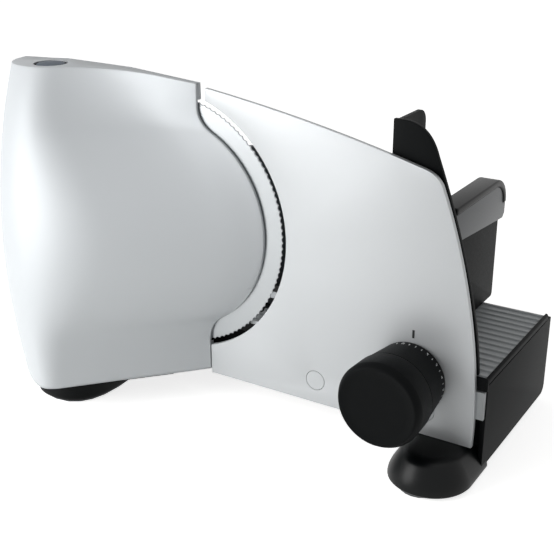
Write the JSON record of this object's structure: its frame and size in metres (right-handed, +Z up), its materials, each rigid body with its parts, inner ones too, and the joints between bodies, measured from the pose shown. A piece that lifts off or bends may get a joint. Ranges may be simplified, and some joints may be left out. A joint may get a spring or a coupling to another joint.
{
  "type": "food slicer",
  "caption": "Electric kitchen food slicer: plough-shaped motor housing, round toothed blade, stop plate set by a knob, and a ribbed sliding carriage with thumb guard and food holder.",
  "frame": {"origin": "on the worktop, under the middle of the slicer's box", "axes": "+X along the carriage's travel towards the operator's end, +Y to the food side of the blade, +Z up"},
  "size_m": [0.3446, 0.206, 0.2237],
  "materials": {
    "silver_plastic": "satin silver moulded plastic",
    "plate_aluminium": "satin aluminium sheet",
    "black_plastic": "satin black moulded plastic",
    "grey_plastic": "mid grey moulded plastic",
    "dark_grey_plastic": "dark grey moulded plastic",
    "button_plastic": "blue-grey moulded plastic",
    "pad_rubber": "grey rubber",
    "blade_steel": "ground stainless steel",
    "zinc_steel": "zinc-plated steel",
    "bearing_bronze": "sintered bronze",
    "copper_winding": "enamelled copper",
    "magnet_ferrite": "ferrite",
    "acetal": "natural acetal"
  },
  "bodies": {
    "base": {"motor_housing": "silver_plastic", "gear_plate": "zinc_steel", "blade_guard": "silver_plastic", "guard_screw_1": "zinc_steel", "guard_screw_2": "zinc_steel", "guard_screw_3": "zinc_steel", "base_frame": "black_plastic", "end_panel": "black_plastic", "front_foot": "black_plastic", "front_pad": "pad_rubber", "left_foot": "black_plastic", "left_pad": "pad_rubber", "rear_left_foot": "black_plastic", "rear_left_pad": "pad_rubber", "rear_right_foot": "black_plastic", "rear_right_pad": "pad_rubber", "cord_gland": "black_plastic", "guide_rail": "zinc_steel", "thickness_nut": "acetal", "rod_bush_1": "acetal", "rod_bush_2": "acetal", "hub_bush": "bearing_bronze", "idler_pin": "blade_steel", "motor_can": "zinc_steel", "motor_cap": "black_plastic", "motor_bearing_back": "bearing_bronze", "motor_bearing_front": "bearing_bronze", "magnet_upper": "magnet_ferrite", "magnet_lower": "magnet_ferrite", "brush_left": "magnet_ferrite", "brush_right": "magnet_ferrite", "switch_body": "black_plastic", "button_ring": "black_plastic"},
    "blade": {"blade": "blade_steel", "drive_gear": "acetal", "blade_lock": "black_plastic"},
    "idler": {"idler_gear": "acetal"},
    "motor": {"motor_shaft": "blade_steel", "armature": "copper_winding", "commutator": "copper_winding", "motor_pinion": "bearing_bronze"},
    "plate": {"stop_plate": "plate_aluminium", "plate_bracket": "grey_plastic", "plate_rod_1": "plate_aluminium", "plate_rod_2": "plate_aluminium"},
    "knob": {"knob_dial": "black_plastic", "knob_cap": "black_plastic", "knob_spindle": "blade_steel"},
    "carriage": {"carriage_table": "grey_plastic", "table_bead": "black_plastic", "carriage_wall": "black_plastic", "thumb_guard": "black_plastic", "runner_shoe_1": "acetal", "runner_shoe_2": "acetal"},
    "holder": {"holder_saddle": "dark_grey_plastic", "holder_grip": "black_plastic", "press_plate": "dark_grey_plastic"},
    "button": {"button": "button_plastic", "button_spring": "blade_steel"}
  },
  "joints": [
    {"name": "blade_spin", "type": "hinge", "parent": "base", "child": "blade", "pos_m": [-0.05125, -0.019, 0.125], "axis": [0, 1, 0], "continuous": true},
    {"name": "idler_spin", "type": "hinge", "parent": "base", "child": "idler", "pos_m": [-0.08815, -0.0275, 0.10104], "axis": [0, 1, 0], "continuous": true},
    {"name": "motor_spin", "type": "hinge", "parent": "base", "child": "motor", "pos_m": [-0.11202, -0.0567, 0.07717], "axis": [0, 1, 0], "continuous": true},
    {"name": "plate_slide", "type": "slide", "parent": "base", "child": "plate", "axis": [0, -1, 0], "range_m": [0, 0.015]},
    {"name": "knob_turn", "type": "hinge", "parent": "plate", "child": "knob", "pos_m": [0.12475, -0.044, 0.0578], "axis": [0, -1, 0], "range_deg": [0, 300]},
    {"name": "carriage_slide", "type": "slide", "parent": "base", "child": "carriage", "axis": [-1, 0, 0], "range_m": [0, 0.15]},
    {"name": "holder_slide", "type": "slide", "parent": "carriage", "child": "holder", "axis": [0, 1, 0], "range_m": [0, 0.06]},
    {"name": "button_press", "type": "slide", "parent": "base", "child": "button", "axis": [0, 0, -1], "range_m": [0, 0.003], "stiffness_N_per_m": 600}
  ],
  "couplings": [
    {"joint": "idler_spin", "follows": "blade_spin", "ratio": -3},
    {"joint": "motor_spin", "follows": "blade_spin", "ratio": 12},
    {"joint": "knob_turn", "follows": "plate_slide", "rad_per_m": 349}
  ]
}
